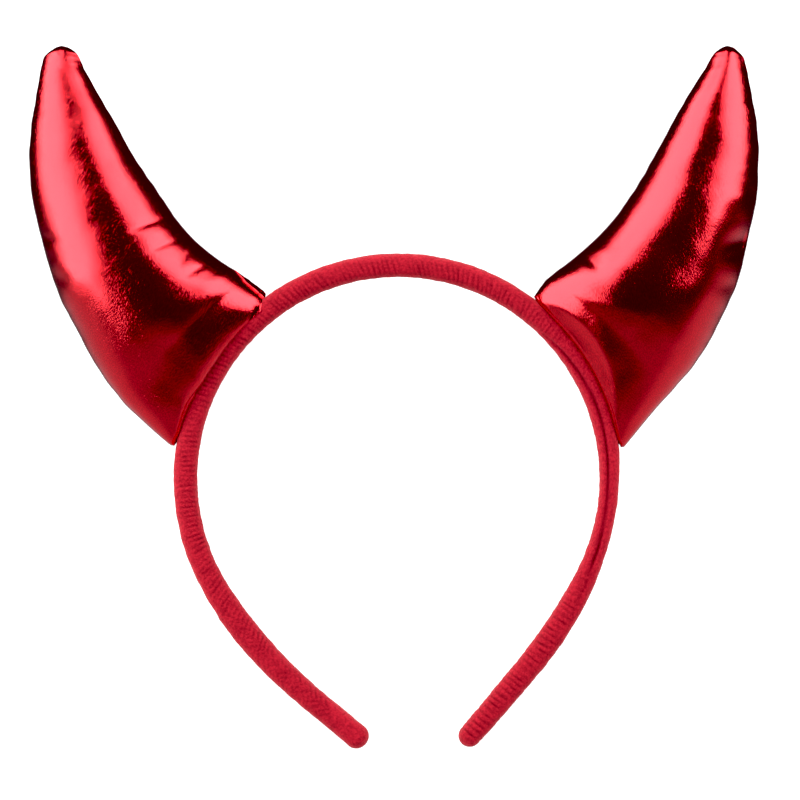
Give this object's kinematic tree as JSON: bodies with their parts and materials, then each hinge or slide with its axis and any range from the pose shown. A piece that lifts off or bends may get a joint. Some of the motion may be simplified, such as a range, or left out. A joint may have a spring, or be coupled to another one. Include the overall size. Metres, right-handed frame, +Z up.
{
  "type": "devil horns headband",
  "caption": "Open hoop headband in a ribbed knit cover, with two curved stuffed horns of shiny metallic cloth on its outer side.",
  "frame": {"origin": "middle of the object's outline on the surface that it lies on", "axes": "+X to the right as one looks down on its front, +Y from the band's open ends towards the horn tips, +Z up, away from the surface"},
  "size_m": [0.2265, 0.2174, 0.0327],
  "materials": {
    "ribbed_cover": "matt ribbed knit, red",
    "metallic_cloth": "shiny foil-coated knit, deep red"
  },
  "bodies": {
    "root": {"ribbed_band": "ribbed_cover", "horn_left_front_panel": "metallic_cloth", "horn_left_back_panel": "metallic_cloth", "horn_right_front_panel": "metallic_cloth", "horn_right_back_panel": "metallic_cloth"}
  },
  "joints": []
}
